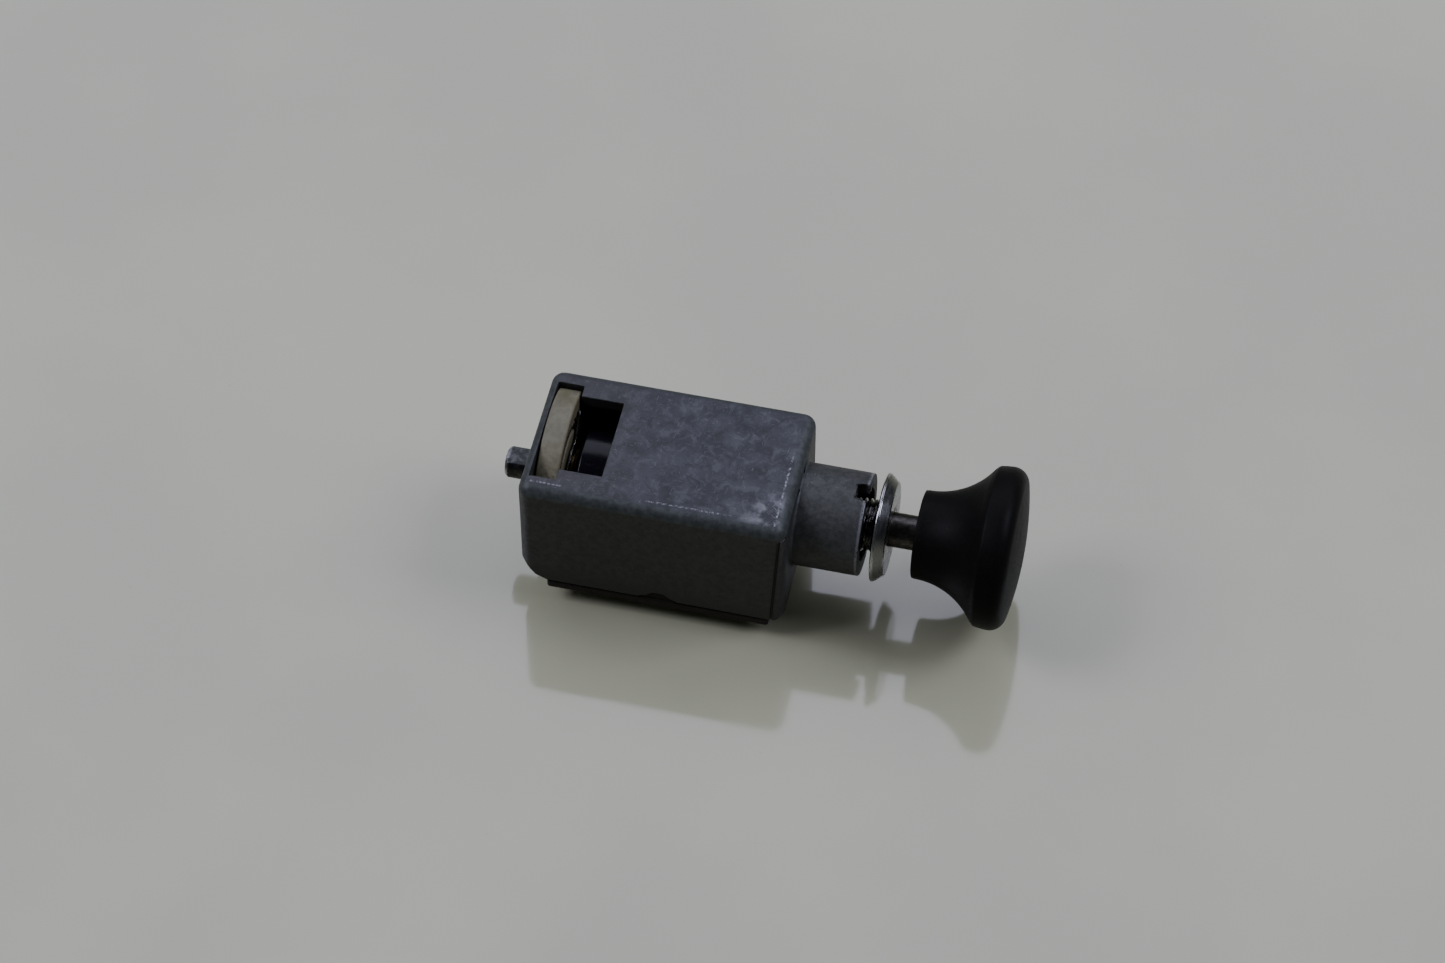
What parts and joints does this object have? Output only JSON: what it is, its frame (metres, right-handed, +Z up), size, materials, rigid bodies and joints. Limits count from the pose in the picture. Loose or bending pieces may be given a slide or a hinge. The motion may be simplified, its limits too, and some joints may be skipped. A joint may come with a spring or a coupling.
{
  "type": "instrument panel pull switch with turn dimmer",
  "caption": "Pull switch with a turn dimmer: die-cast housing, chrome bezel nut, flared black knob on a pull-and-turn shaft, wire-wound rheostat seen through a roof window.",
  "frame": {"origin": "centre of the bounding box's underside, on the surface that the terminal screws' heads rest on", "axes": "+X along the shaft, out of the panel towards the knob; +Z up, from the terminal base to the roof with its window; +Y to the left seen from behind the knob"},
  "size_m": [0.098, 0.0306, 0.0351],
  "materials": {
    "zinc_casting": "weathered zinc die casting, matt grey with worn bright edges",
    "polished_chrome": "polished, lightly scratched",
    "blackened_steel": "blackened, worn, slightly brown",
    "spring_steel": "bright drawn spring steel",
    "brass": "turned brass, dulled",
    "copper": "pressed copper strip, dulled",
    "resistance_wire": "oxidised resistance wire",
    "ceramic": "unglazed, yellowed and smudged",
    "black_phenolic": "moulded black phenolic, satin to glossy",
    "brown_phenolic": "moulded dark brown phenolic, matt",
    "plated_steel": "zinc-plated steel, dulled"
  },
  "bodies": {
    "housing": {"housing": "zinc_casting", "guide_bush": "brass", "bezel_nut": "polished_chrome", "rheostat_ceramic": "ceramic", "resistance_coil": "resistance_wire", "rheostat_lead": "copper", "terminal_base": "brown_phenolic", "terminal_screw_1": "plated_steel", "clamp_washer_1": "plated_steel", "fixed_contact_1": "brass", "terminal_screw_2": "plated_steel", "clamp_washer_2": "plated_steel", "fixed_contact_2": "brass", "terminal_screw_3": "plated_steel", "clamp_washer_3": "plated_steel", "fixed_contact_3": "brass", "terminal_screw_4": "plated_steel", "clamp_washer_4": "plated_steel", "fixed_contact_4": "brass", "terminal_screw_5": "plated_steel", "clamp_washer_5": "plated_steel", "fixed_contact_5": "brass", "terminal_screw_6": "plated_steel", "clamp_washer_6": "plated_steel", "fixed_contact_6": "brass"},
    "carriage": {"contact_carriage": "black_phenolic", "detent_ball": "spring_steel", "detent_spring": "spring_steel", "contact_bridge_left": "copper", "contact_bridge_right": "copper", "bridge_spring_left": "spring_steel", "bridge_spring_right": "spring_steel"},
    "shaft": {"pull_shaft": "blackened_steel", "knob": "black_phenolic", "knob_insert": "brass", "front_clip": "spring_steel", "rear_clip": "spring_steel"},
    "wiper": {"wiper_sleeve": "brass", "wiper_arm": "spring_steel", "wave_washer": "spring_steel"}
  },
  "joints": [
    {"name": "pull_slide", "type": "slide", "parent": "housing", "child": "carriage", "axis": [1, 0, 0], "range_m": [0, 0.007]},
    {"name": "knob_turn", "type": "hinge", "parent": "carriage", "child": "shaft", "pos_m": [0.00705, 0, 0.01983], "axis": [1, 0, 0], "range_deg": [-20, 190]},
    {"name": "wiper_turn", "type": "hinge", "parent": "housing", "child": "wiper", "pos_m": [-0.03695, 0, 0.01983], "axis": [1, 0, 0], "range_deg": [-20, 190]}
  ],
  "couplings": [
    {"joint": "wiper_turn", "follows": "knob_turn", "ratio": 1}
  ]
}
